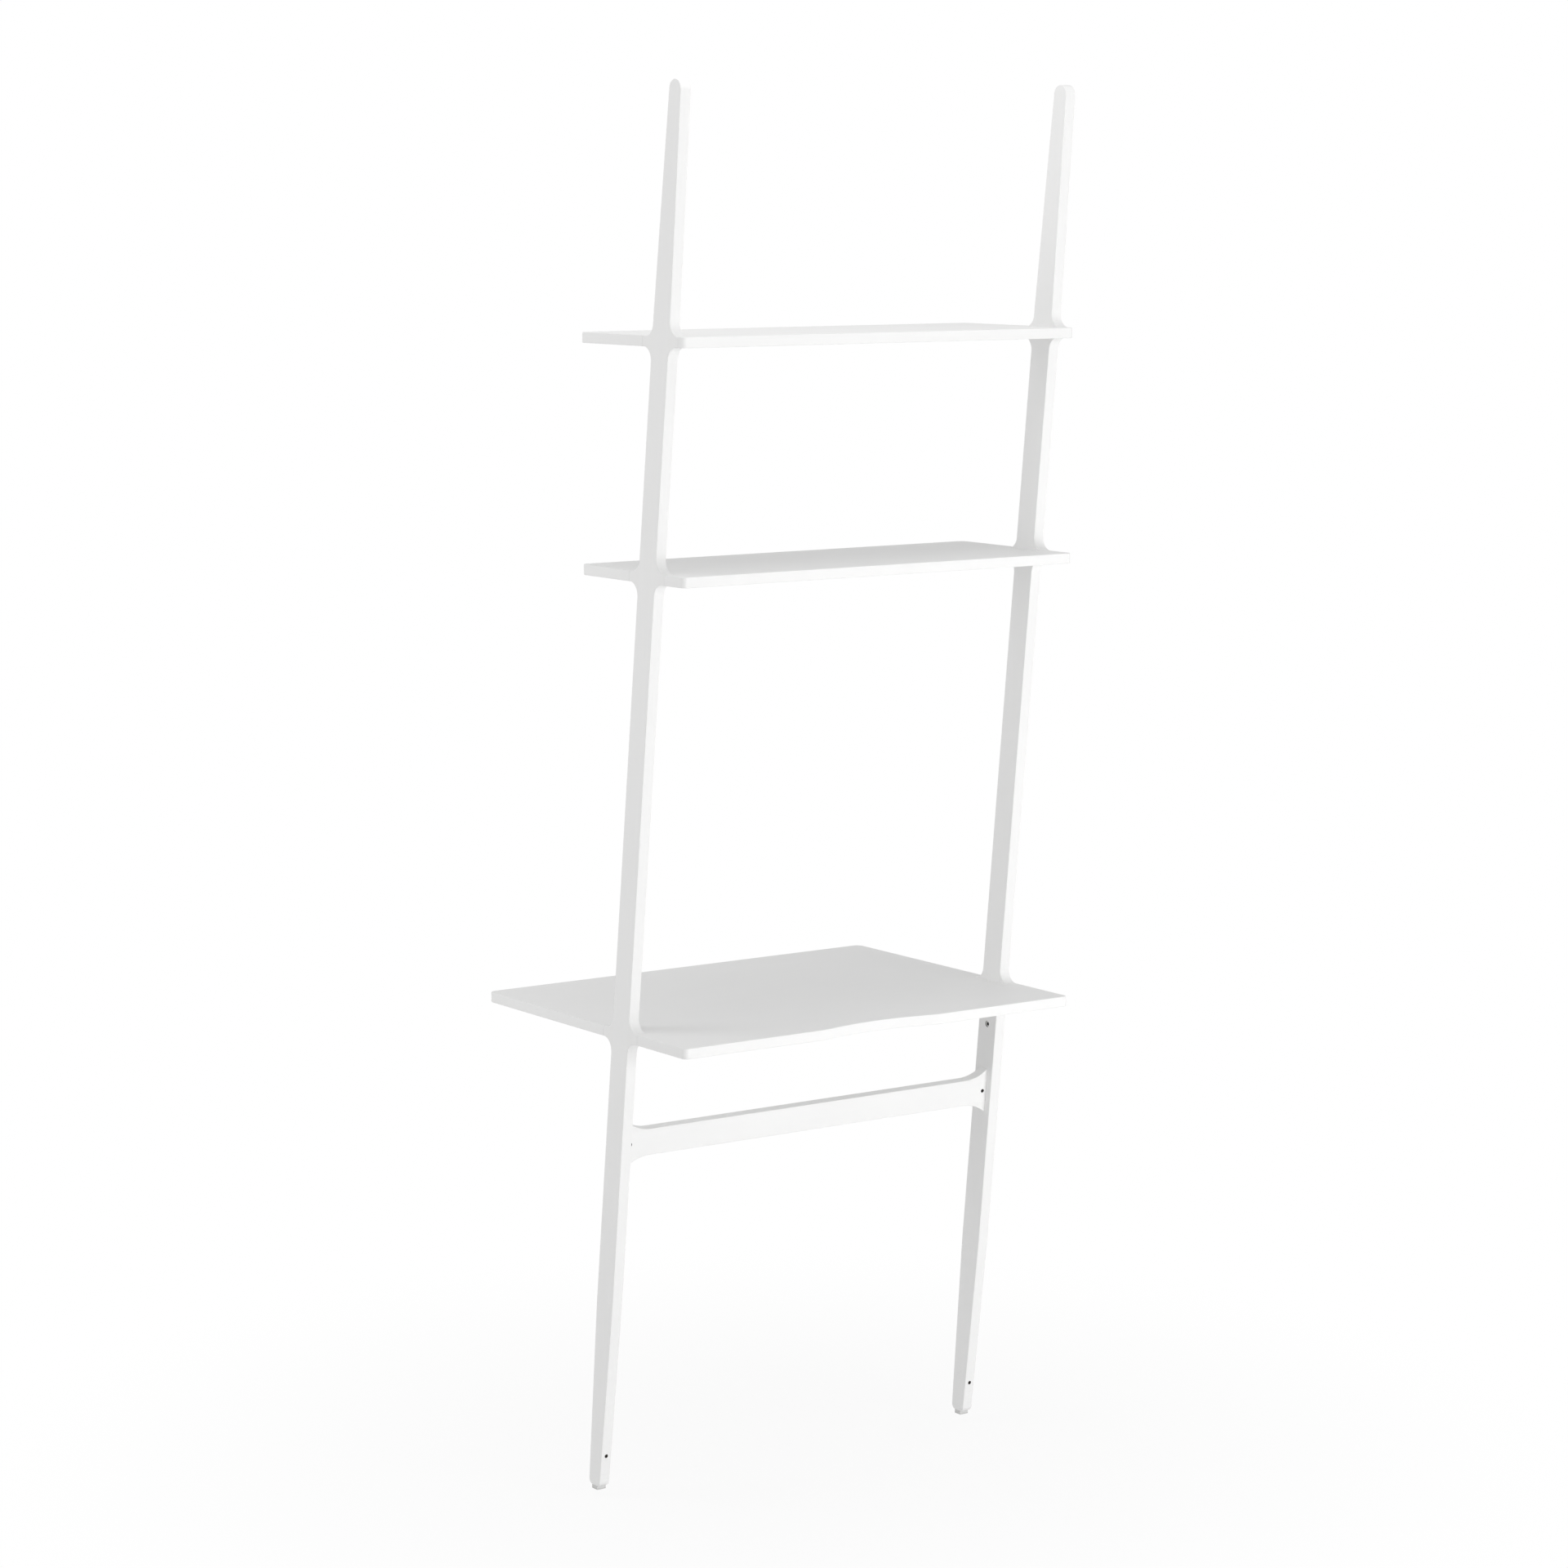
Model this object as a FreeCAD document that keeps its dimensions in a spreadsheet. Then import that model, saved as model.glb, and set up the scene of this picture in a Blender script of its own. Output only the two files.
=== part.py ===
import FreeCAD, Part
import math
import os
import Sketcher
from FreeCAD import Placement, Rotation, Vector

# Ladder desk that leans on a wall: two leaning uprights, a desk top, two shelves and a bar.
# X runs along the width, the user sits at -Y, the wall is at +Y and Z is up.
# The origin lies on the floor, under the middle of the desk top.
doc = FreeCAD.newDocument("ladder_desk")

# Driving dimensions in millimetres, and one share
DIMENSIONS = {
    # Whole object
    "overall_width": 722,
    "desk_height": 733,
    "desk_bay": 679,
    "shelf_bay": 330,
    "upright_tail": 367,
    # Boards
    "desk_depth": 555,
    "shelf_depth": 276,
    "board_thickness": 16,
    "front_corner_radius": 12,
    "rear_corner_radius": 8,
    "edge_rounding": 1.2,
    "recess_length": 236,
    "recess_depth": 14,
    "recess_lip_radius": 120,
    # Uprights
    "upright_thickness": 18,
    "upright_width": 44,
    "lean_run": 240,
    "tip_setback": 16,
    "tip_radius": 15,
    "upper_taper_rise": 10,
    "lower_taper_height": 298,
    "leg_end_width": 29.5,
    "leg_toe_radius": 9,
    "wing_overhang": 24.5,
    "wing_fillet": 20,
    "wing_fillet_share": 0.84,
    "joint_gap": 0.4,
    "blind_wall": 4.5,
    # Bar between the uprights
    "stretcher_drop": 164,
    "stretcher_thickness": 18,
    "stretcher_height": 42,
    "flare_run": 43,
    "flare_rise": 15,
    "pin_diameter": 6,
    "pin_length": 28,
    "stretcher_screw_inset": 6.5,
    "stretcher_screw_length": 4,
    # Board joints
    "dowel_diameter": 8,
    "dowel_length": 30,
    "dowel_spacing": 60,
    "cam_diameter": 15,
    "cam_setback": 24,
    "cam_cover": 3.5,
    "cam_recess": 0.3,
    "cam_cross_width": 1.6,
    "cam_cross_depth": 2,
    "cam_cross_length": 9,
    "bolt_thread_diameter": 6,
    "bolt_shank_diameter": 5,
    "bolt_head_diameter": 6.8,
    "bolt_head_length": 4,
    # Accessory insert below the desk top
    "insert_drop": 56,
    "insert_diameter": 10,
    "insert_recess": 1,
    "insert_thread_diameter": 5,
    # Levelling foot
    "foot_length": 15,
    "foot_width": 16,
    "foot_height": 3.5,
    "foot_edge_radius": 0.8,
    "foot_travel": 10,
    "foot_seat_gap": 0.3,
    "glide_height": 2.5,
    "stem_diameter": 7,
    "sleeve_wall": 1.5,
    "lock_height": 56,
    "lock_screw_diameter": 6,
    "lock_screw_length": 8,
    "lock_tip_gap": 0.3,
    "socket_width": 3,
    "socket_depth": 2.2,
    # Clearances
    "fit_gap": 0.05,
    "end_gap": 0.5,
    "cut_overrun": 5,
}
# Two coordinates closer than this are the same place
SAME_PLACE = 1e-4

sheet = doc.addObject("Spreadsheet::Sheet", "dims")
for row, (alias, number) in enumerate(DIMENSIONS.items(), start=1):
    sheet.set(f"A{row}", alias)
    sheet.set(f"B{row}", str(number))
    sheet.setAlias(f"B{row}", alias)
doc.recompute()


def value(formula):
    """Number that a formula of the sheet's sizes gives."""
    result = sheet.evalExpression(formula)
    return float(getattr(result, "Value", result))


# Places worked out from the driving dimensions, as formulas
half_width = "(dims.overall_width / 2)"
inner_face = "(dims.overall_width / 2 - dims.upright_thickness)"
upright_middle = "(dims.overall_width / 2 - dims.upright_thickness / 2)"
wall_plane = "(dims.desk_depth / 2)"
desk_level = "dims.desk_height"
middle_level = "(dims.desk_height + dims.desk_bay + dims.board_thickness)"
top_level = f"({middle_level} + dims.shelf_bay + dims.board_thickness)"
tip_level = f"({top_level} + dims.upright_tail)"
desk_underside = "(dims.desk_height - dims.board_thickness)"
leg_end = "(dims.glide_height + dims.foot_height + dims.foot_seat_gap)"
stretcher_level = f"({desk_underside} - dims.stretcher_drop)"
insert_level = f"({desk_underside} - dims.insert_drop)"
wing_half = "(dims.upright_width / 2 + dims.wing_overhang)"
cross_fillet = "min(dims.wing_fillet; dims.wing_fillet_share * dims.wing_overhang)"
blind_depth = "(dims.upright_thickness - dims.blind_wall)"
stem_top = "(dims.lock_height + dims.lock_screw_diameter / 2 + dims.foot_travel)"
sleeve_top = f"({stem_top} + dims.end_gap)"
board_levels = {"desk_top": desk_level, "middle_shelf": middle_level, "top_shelf": top_level}


def centre_line(level):
    """Y of the upright's centre line at a height."""
    foot_setback = "(dims.tip_setback + dims.lean_run)"
    return f"({wall_plane} - {foot_setback} + dims.lean_run * {level} / {tip_level})"


def mid_level(board):
    return f"({board_levels[board]} - dims.board_thickness / 2)"


stem_line = centre_line(leg_end)
lean = f"atan2(dims.lean_run; {tip_level})"
cam_line = f"({inner_face} - dims.cam_setback)"


def new_body(label):
    body = doc.addObject("PartDesign::Body", label)
    body.Label = label
    return body


def bind(thing, formulas):
    for name, formula in formulas.items():
        thing.setExpression(name, formula)


def origin_plane(body, role):
    for feature in body.Origin.OriginFeatures:
        if feature.Role == role:
            return feature
    raise RuntimeError(f"{body.Label} has no {role}")


def new_sketch(body, name, role, height="0"):
    """Empty sketch on one of the body's own planes, raised along the plane's normal."""
    sketch = body.newObject("Sketcher::SketchObject", name)
    sketch.AttachmentSupport = (origin_plane(body, role), [""])
    sketch.MapMode = "FlatFace"
    sketch.setExpression("AttachmentOffset.Base.z", height)
    return sketch


def size_constraint(sketch, kind, references, formula):
    index = sketch.addConstraint(Sketcher.Constraint(kind, *references, value(formula)))
    sketch.setExpression(f"Constraints[{index}]", formula)


def pin_point(sketch, geometry, point, across, along):
    size_constraint(sketch, "DistanceX", (-1, 1, geometry, point), across)
    size_constraint(sketch, "DistanceY", (-1, 1, geometry, point), along)


def arc_between(start, end, radius, turns_left):
    """Arc of under a half circle from start to end."""
    half = (end - start) / 2
    side = Vector(-half.y, half.x, 0) if turns_left else Vector(half.y, -half.x, 0)
    rise = math.sqrt(max(radius ** 2 - half.Length ** 2, 0))
    centre = start + half + side.normalize() * rise
    first, last = (start, end) if turns_left else (end, start)
    angles = [math.atan2(corner.y - centre.y, corner.x - centre.x) for corner in (first, last)]
    return Part.ArcOfCircle(Part.Circle(centre, Vector(0, 0, 1), radius), *angles)


def draw_outline(sketch, corners):
    """Closed outline. A corner is (across, along) or (across, along, radius, turns_left),
    where the last two make the edge that leaves it an arc."""
    first = sketch.GeometryCount
    places = [Vector(value(corner[0]), value(corner[1]), 0) for corner in corners]
    ends = []
    for index, corner in enumerate(corners):
        start, end = places[index], places[(index + 1) % len(places)]
        if len(corner) == 2:
            sketch.addGeometry(Part.LineSegment(start, end), False)
            ends.append((1, 2))
        else:
            sketch.addGeometry(arc_between(start, end, value(corner[2]), corner[3]), False)
            ends.append((1, 2) if corner[3] else (2, 1))
    for index, corner in enumerate(corners):
        following = (index + 1) % len(corners)
        joint = (first + index, ends[index][1], first + following, ends[following][0])
        sketch.addConstraint(Sketcher.Constraint("Coincident", *joint))
        pin_point(sketch, first + index, ends[index][0], corner[0], corner[1])
        if len(corner) == 4:
            size_constraint(sketch, "Radius", (first + index,), corner[2])


def draw_circle(sketch, across, along, radius):
    centre = Vector(value(across), value(along), 0)
    index = sketch.addGeometry(Part.Circle(centre, Vector(0, 0, 1), value(radius)), False)
    pin_point(sketch, index, 3, across, along)
    size_constraint(sketch, "Radius", (index,), radius)


def rectangle(low_across, low_along, high_across, high_along):
    return [
        (low_across, low_along),
        (high_across, low_along),
        (high_across, high_along),
        (low_across, high_along),
    ]


def pad(body, sketch, name, length, side_type="One side"):
    feature = body.newObject("PartDesign::Pad", name)
    feature.Profile = sketch
    feature.SideType = side_type
    feature.setExpression("Length", length)
    doc.recompute()
    return feature


def pocket(body, sketch, name, depth, reverse=False):
    """Cut of a given depth, which has to take material away."""
    before = body.Shape.Volume
    feature = body.newObject("PartDesign::Pocket", name)
    feature.Profile = sketch
    feature.Reversed = reverse
    feature.setExpression("Length", depth)
    doc.recompute()
    if body.Shape.Volume >= before:
        raise RuntimeError(f"{body.Label} {name} cuts nothing")
    return feature


def round_edges(body, name, chosen, radius):
    """Fillet the edges of the body's last feature for which chosen(edge) is true."""
    shape = body.Tip.Shape
    names = [f"Edge{i}" for i, edge in enumerate(shape.Edges, start=1) if chosen(edge)]
    if not names:
        raise RuntimeError(f"{body.Label} {name} has no edges")
    base = body.Tip
    feature = body.newObject("PartDesign::Fillet", name)
    feature.Base = (base, names)
    feature.setExpression("Radius", radius)
    doc.recompute()
    return feature


def mirror_features(body, name, features):
    feature = body.newObject("PartDesign::Mirrored", name)
    feature.Originals = features
    feature.MirrorPlane = (origin_plane(body, "YZ_Plane"), [""])
    body.Tip = feature
    doc.recompute()
    return feature


def mirrored_piece(source, label):
    """The same piece on the other side of the object."""
    copy = doc.addObject("Part::Mirroring", label)
    copy.Label = label
    copy.Source = source
    copy.Normal = Vector(1, 0, 0)
    return copy


def same(first, second):
    return abs(first - second) < SAME_PLACE


def lies_at(edge, axis, place):
    """True where the whole edge lies at one place along x, y or z."""
    box = edge.BoundBox
    low, high = getattr(box, axis + "Min"), getattr(box, axis + "Max")
    return same(low, place) and same(high, place)


def put(piece, place):
    for axis, formula in zip("xyz", place):
        piece.setExpression(f"Placement.Base.{axis}", formula)


def tip_over(piece, angle):
    """Turn about the width axis, from upright towards the wall."""
    piece.Placement = Placement(piece.Placement.Base, Rotation(Vector(-1, 0, 0), value(angle)))
    piece.setExpression("Placement.Rotation.Angle", angle)


def cylinder(name, radius, length, place):
    piece = doc.addObject("Part::Cylinder", name)
    bind(piece, {"Radius": radius, "Height": length})
    put(piece, place)
    return piece


def cross_cylinder(name, radius, length, place):
    """Cylinder that runs towards the right-hand end."""
    piece = cylinder(name, radius, length, place)
    piece.Placement = Placement(piece.Placement.Base, Rotation(Vector(0, 1, 0), 90))
    return piece


def box(name, low, size):
    piece = doc.addObject("Part::Box", name)
    bind(piece, dict(zip(("Length", "Width", "Height"), size)))
    put(piece, low)
    return piece


def cut(name, base, tool):
    piece = doc.addObject("Part::Cut", name)
    piece.Base = base
    piece.Tool = tool
    return piece


def fuse(name, pieces):
    piece = doc.addObject("Part::MultiFuse", name)
    piece.Shapes = pieces
    return piece


def both_sides(label, right_pieces):
    """Group of separate solids: the right-hand ones and their mirror images."""
    left_pieces = [mirrored_piece(piece, f"{piece.Name}_left") for piece in right_pieces]
    group = doc.addObject("Part::Compound", label)
    group.Label = label
    group.Links = right_pieces + left_pieces
    return group


def blade_outline():
    """Leaning plank: tapered leg, parallel middle, tapered tip with a round end."""
    taper_top = f"({top_level} + {cross_fillet} + dims.upper_taper_rise)"
    tip_centre = f"({tip_level} - dims.tip_radius)"
    stations = [
        (leg_end, "dims.leg_end_width / 2"),
        ("dims.lower_taper_height", "dims.upright_width / 2"),
        (taper_top, "dims.upright_width / 2"),
        (tip_centre, "dims.tip_radius"),
    ]
    rear = [(f"{centre_line(level)} + {half}", level) for level, half in stations]
    front = [(f"{centre_line(level)} - {half}", level) for level, half in stations]
    rear[-1] = rear[-1] + ("dims.tip_radius", True)
    apex = (centre_line(tip_centre), tip_level, "dims.tip_radius", True)
    return rear + [apex] + front[::-1]


def wing_outline(board):
    """Part of the cross that stands in the notch of a board's end."""
    level = board_levels[board]
    middle = centre_line(mid_level(board))
    low = f"({level} - dims.board_thickness)"
    return rectangle(f"{middle} - {wing_half}", low, f"{middle} + {wing_half}", level)


def cross_corner(edge):
    """Inner corner between the plank and a wing."""
    middle = edge.CenterOfMass
    if not (lies_at(edge, "Y", middle.y) and lies_at(edge, "Z", middle.z)):
        return False
    levels = [value(level) for level in board_levels.values()]
    sides = levels + [level - value("dims.board_thickness") for level in levels]
    if not any(same(middle.z, side) for side in sides):
        return False
    distance = abs(middle.y - value(centre_line(f"{middle.z}")))
    return same(distance, value("dims.upright_width / 2"))


def toe_corner(edge):
    """Lower corner of the leg, at its front or its rear."""
    toes = [value(f"{centre_line(leg_end)} {side} dims.leg_end_width / 2") for side in ("-", "+")]
    return lies_at(edge, "Z", value(leg_end)) and any(lies_at(edge, "Y", toe) for toe in toes)


def plank_edge(edge):
    """Edge round either broad face, but not where a wing butts against its board."""
    on_face = lies_at(edge, "X", value(inner_face)) or lies_at(edge, "X", value(half_width))
    middles = [value(centre_line(mid_level(board))) for board in board_levels]
    ends = [middle + side * value(wing_half) for middle in middles for side in (-1, 1)]
    return on_face and not any(lies_at(edge, "Y", end) for end in ends)


def make_upright(label):
    """Right-hand upright with the bores that its boards, bar and foot need."""
    body = new_body(label)
    blade = new_sketch(body, "blade_outline", "YZ_Plane", inner_face)
    draw_outline(blade, blade_outline())
    pad(body, blade, "blade", "dims.upright_thickness")
    wings = new_sketch(body, "wing_outlines", "YZ_Plane", inner_face)
    for board in board_levels:
        draw_outline(wings, wing_outline(board))
    pad(body, wings, "wings", "dims.upright_thickness")
    round_edges(body, "cross_fillets", cross_corner, cross_fillet)
    round_edges(body, "toe_fillets", toe_corner, "dims.leg_toe_radius")
    round_edges(body, "edge_rounding", plank_edge, "dims.edge_rounding")

    bores = new_sketch(body, "inner_face_bores", "YZ_Plane", inner_face)
    for board in board_levels:
        middle, height = centre_line(mid_level(board)), mid_level(board)
        for side in ("-", "+"):
            place = f"{middle} {side} dims.dowel_spacing / 2"
            draw_circle(bores, place, height, "dims.dowel_diameter / 2 + dims.fit_gap")
        draw_circle(bores, middle, height, "dims.bolt_thread_diameter / 2 + dims.fit_gap")
    pin_radius = "dims.pin_diameter / 2 + dims.fit_gap"
    draw_circle(bores, centre_line(stretcher_level), stretcher_level, pin_radius)
    insert_radius = "dims.insert_diameter / 2 + dims.fit_gap"
    draw_circle(bores, centre_line(insert_level), insert_level, insert_radius)
    pocket(body, bores, "blind_bores", blind_depth, reverse=True)

    sleeve_radius = "dims.stem_diameter / 2 + dims.sleeve_wall + 2 * dims.fit_gap"
    end_bore = new_sketch(body, "sleeve_bore_outline", "XY_Plane", leg_end)
    draw_circle(end_bore, upright_middle, stem_line, sleeve_radius)
    pocket(body, end_bore, "sleeve_bore", f"{sleeve_top} + dims.end_gap - {leg_end}", reverse=True)

    screw_bore = new_sketch(body, "lock_screw_bore_outline", "XZ_Plane", f"-{stem_line}")
    screw_radius = "dims.lock_screw_diameter / 2 + dims.fit_gap"
    draw_circle(screw_bore, upright_middle, "dims.lock_height", screw_radius)
    pocket(body, screw_bore, "lock_screw_bore", "dims.upright_width")
    return body


def recess_corners():
    """Shallow gap for cables in the middle of the desk's rear edge, drawn from right to left."""
    half = "(dims.recess_length / 2)"
    turn = f"(2 * atan(dims.recess_depth / {half}))"
    bowl_radius = f"({half} / sin({turn}) - dims.recess_lip_radius)"
    bend = f"({half} - dims.recess_lip_radius * sin({turn}))"
    bend_line = f"({wall_plane} - dims.recess_lip_radius * (1 - cos({turn})))"
    return [
        (half, wall_plane, "dims.recess_lip_radius", True),
        (bend, bend_line, bowl_radius, False),
        (f"-{bend}", bend_line, "dims.recess_lip_radius", True),
        (f"-{half}", wall_plane),
    ]


def board_outline(depth, rear_edge):
    """Board seen from above, with rounded corners. Its rear edge lies on the wall plane."""
    front = f"({wall_plane} - {depth})"
    at_front, at_rear = "dims.front_corner_radius", "dims.rear_corner_radius"
    return [
        (f"-{half_width} + {at_front}", front),
        (f"{half_width} - {at_front}", front, at_front, True),
        (half_width, f"{front} + {at_front}"),
        (half_width, f"{wall_plane} - {at_rear}", at_rear, True),
        (f"{half_width} - {at_rear}", wall_plane),
        *rear_edge,
        (f"-{half_width} + {at_rear}", wall_plane, at_rear, True),
        (f"-{half_width}", f"{wall_plane} - {at_rear}"),
        (f"-{half_width}", f"{front} + {at_front}", at_front, True),
    ]


def make_board(label, depth, rear_edge=()):
    """Board with a notch at each end for the upright's cross, and bores for its fastenings."""
    level = board_levels[label]
    underside = f"({level} - dims.board_thickness)"
    middle, height = centre_line(mid_level(label)), mid_level(label)
    body = new_body(label)
    outline = new_sketch(body, "outline", "XY_Plane", underside)
    draw_outline(outline, board_outline(depth, rear_edge))
    pad(body, outline, "panel", "dims.board_thickness")

    def broad_face_edge(edge):
        return lies_at(edge, "Z", value(level)) or lies_at(edge, "Z", value(underside))

    round_edges(body, "edge_rounding", broad_face_edge, "dims.edge_rounding")

    notch = new_sketch(body, "notch_outline", "XY_Plane", level)
    reach = f"{wing_half} + dims.joint_gap"
    past_end = f"{half_width} + dims.cut_overrun"
    draw_outline(notch, rectangle(inner_face, f"{middle} - ({reach})", past_end, f"{middle} + {reach}"))
    notch_cut = pocket(body, notch, "notch", "dims.board_thickness")

    dowels = new_sketch(body, "dowel_bore_outlines", "YZ_Plane", inner_face)
    for side in ("-", "+"):
        place = f"{middle} {side} dims.dowel_spacing / 2"
        draw_circle(dowels, place, height, "dims.dowel_diameter / 2 + dims.fit_gap")
    dowel_depth = f"dims.dowel_length - {blind_depth} + 2 * dims.end_gap"
    dowel_cut = pocket(body, dowels, "dowel_bores", dowel_depth)

    bolt = new_sketch(body, "bolt_bore_outline", "YZ_Plane", inner_face)
    draw_circle(bolt, middle, height, "dims.bolt_head_diameter / 2 + dims.fit_gap")
    bolt_depth = "dims.cam_setback + dims.bolt_head_length / 2 + dims.end_gap"
    bolt_cut = pocket(body, bolt, "bolt_bore", bolt_depth)

    cam = new_sketch(body, "cam_bore_outline", "XY_Plane", underside)
    draw_circle(cam, cam_line, middle, "dims.cam_diameter / 2 + dims.fit_gap")
    cam_cut = pocket(body, cam, "cam_bore", "dims.board_thickness - dims.cam_cover", reverse=True)
    mirror_features(body, "other_end", [notch_cut, dowel_cut, bolt_cut, cam_cut])
    return body


def make_stretcher(label):
    """Bar with flared ends, turned to lean with the uprights."""
    body = new_body(label)
    half_height, tip_half = "(dims.stretcher_height / 2)", "(dims.stretcher_height / 2 + dims.flare_rise)"
    start = f"({inner_face} - dims.flare_run)"
    radius = "((dims.flare_run ^ 2 + dims.flare_rise ^ 2) / (2 * dims.flare_rise))"
    outline = new_sketch(body, "outline", "XZ_Plane")
    draw_outline(outline, [
        (f"-{start}", f"-{half_height}"),
        (start, f"-{half_height}", radius, False),
        (inner_face, f"-{tip_half}"),
        (inner_face, tip_half, radius, False),
        (start, half_height),
        (f"-{start}", half_height, radius, False),
        (f"-{inner_face}", tip_half),
        (f"-{inner_face}", f"-{tip_half}", radius, False),
    ])
    pad(body, outline, "bar", "dims.stretcher_thickness", "Symmetric")

    half_thickness = "dims.stretcher_thickness / 2"

    def long_edge(edge):
        broad = lies_at(edge, "Y", value(half_thickness)) or lies_at(edge, "Y", -value(half_thickness))
        at_end = lies_at(edge, "X", value(inner_face)) or lies_at(edge, "X", -value(inner_face))
        return broad and not at_end

    round_edges(body, "edge_rounding", long_edge, "dims.edge_rounding")
    pins = new_sketch(body, "pin_bore_outline", "YZ_Plane", inner_face)
    draw_circle(pins, "0", "0", "dims.pin_diameter / 2 + dims.fit_gap")
    pin_cut = pocket(body, pins, "pin_bore", f"dims.pin_length - {blind_depth} + 2 * dims.end_gap")
    screws = new_sketch(body, "screw_bore_outline", "XZ_Plane")
    screw_line = f"{inner_face} - dims.stretcher_screw_inset"
    draw_circle(screws, screw_line, "0", "dims.lock_screw_diameter / 2 + dims.fit_gap")
    screw_cut = pocket(body, screws, "screw_bore", f"{half_thickness} + dims.cut_overrun")
    mirror_features(body, "other_end", [pin_cut, screw_cut])
    tip_over(body, lean)
    put(body, ("0", centre_line(stretcher_level), stretcher_level))
    return body


def make_dowels(label, board):
    """Wooden dowels along X, seated in the upright and in the board's notch."""
    start = f"{inner_face} + {blind_depth} - dims.end_gap - dims.dowel_length"
    pieces = []
    for side, name in (("-", "front"), ("+", "rear")):
        line = f"{centre_line(mid_level(board))} {side} dims.dowel_spacing / 2"
        place = (start, line, mid_level(board))
        radius = "dims.dowel_diameter / 2"
        pieces.append(cross_cylinder(f"{label}_{name}", radius, "dims.dowel_length", place))
    return both_sides(label, pieces)


def make_bolts(label, board):
    """Connecting bolts: thread in the upright, shank through the board, head in the cam."""
    middle, height = centre_line(mid_level(board)), mid_level(board)
    head_start = f"({cam_line} - dims.bolt_head_length / 2)"
    thread_length = f"({blind_depth} - dims.end_gap)"
    sections = {
        "thread": ("dims.bolt_thread_diameter / 2", inner_face, thread_length),
        "shank": ("dims.bolt_shank_diameter / 2", cam_line, "dims.cam_setback"),
        "head": ("dims.bolt_head_diameter / 2", head_start, "dims.bolt_head_length"),
    }
    pieces = []
    for name, (radius, start, length) in sections.items():
        place = (start, middle, height)
        pieces.append(cross_cylinder(f"{label}_{name}", radius, length, place))
    return both_sides(label, [fuse(f"{label}_right", pieces)])


def make_cams(label, board):
    """Cam locks in the underside, slotted for the bolt's head, with a cross recess below."""
    middle, height = centre_line(mid_level(board)), mid_level(board)
    foot = f"({board_levels[board]} - dims.board_thickness + dims.cam_recess)"
    drum_height = "dims.board_thickness - dims.cam_cover - dims.cam_recess"
    drum = cylinder(f"{label}_drum", "dims.cam_diameter / 2", drum_height, (cam_line, middle, foot))
    room = "(dims.bolt_head_diameter / 2 + dims.fit_gap)"
    behind = "(dims.bolt_head_length / 2 + dims.end_gap)"
    slot_low = (f"{cam_line} - {behind}", f"{middle} - {room}", f"{height} - {room}")
    slot_size = (f"{behind} + dims.cam_diameter", f"2 * {room}", f"2 * {room}")
    piece = cut(f"{label}_slotted", drum, box(f"{label}_slot", slot_low, slot_size))
    length, width = "dims.cam_cross_length", "dims.cam_cross_width"
    for number, (along_x, along_y) in enumerate(((length, width), (width, length))):
        low = (f"{cam_line} - {along_x} / 2", f"{middle} - {along_y} / 2", f"{foot} - dims.cut_overrun")
        size = (along_x, along_y, "dims.cam_cross_depth + dims.cut_overrun")
        arm = box(f"{label}_cross_{number}", low, size)
        piece = cut(f"{label}_crossed_{number}", piece, arm)
    return both_sides(label, [piece])


def make_stretcher_pins(label):
    start = f"{inner_face} + {blind_depth} - dims.end_gap - dims.pin_length"
    place = (start, centre_line(stretcher_level), stretcher_level)
    pin = cross_cylinder(f"{label}_right", "dims.pin_diameter / 2", "dims.pin_length", place)
    return both_sides(label, [pin])


def grub_screw(name, length, tip, dip):
    """Headless screw that runs from its tip towards the wall, with a hexagon socket in its
    outer end. Its axis dips below level by an angle."""
    turn = f"90 deg + {dip}"
    shaft = cylinder(f"{name}_shaft", "dims.lock_screw_diameter / 2", length, tip)
    tip_over(shaft, turn)
    socket = doc.addObject("Part::Prism", f"{name}_socket")
    socket.Polygon = 6
    bind(socket, {"Circumradius": "dims.socket_width / sqrt(3)", "Height": "dims.socket_depth"})
    tip_over(socket, turn)
    reach = f"({length} - dims.socket_depth)"
    put(socket, (tip[0], f"{tip[1]} + {reach} * cos({dip})", f"{tip[2]} - {reach} * sin({dip})"))
    return cut(f"{name}_right", shaft, socket)


def make_stretcher_screws(label):
    """Lock screws in the bar's rear face, which grip the pins."""
    radius = "(dims.pin_diameter / 2 + dims.fit_gap)"
    tip = (
        f"{inner_face} - dims.stretcher_screw_inset",
        f"{centre_line(stretcher_level)} + {radius} * cos({lean})",
        f"{stretcher_level} - {radius} * sin({lean})",
    )
    return both_sides(label, [grub_screw(label, "dims.stretcher_screw_length", tip, lean)])


def make_foot_screws(label):
    """Lock screws in the uprights' rear edges, which grip the stems of the feet."""
    touch = f"({stem_line} + dims.stem_diameter / 2 + dims.lock_tip_gap)"
    tip = (upright_middle, touch, "dims.lock_height")
    return both_sides(label, [grub_screw(label, "dims.lock_screw_length", tip, "0 deg")])


def make_inserts(label):
    """Threaded inserts in the inner faces, where an accessory can be bolted on."""
    length = f"{blind_depth} - dims.insert_recess"
    start = f"{inner_face} + dims.insert_recess"
    place = (start, centre_line(insert_level), insert_level)
    shell = cross_cylinder(f"{label}_shell", "dims.insert_diameter / 2", length, place)
    thread = cross_cylinder(f"{label}_thread", "dims.insert_thread_diameter / 2", length, place)
    return both_sides(label, [cut(f"{label}_right", shell, thread)])


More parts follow.
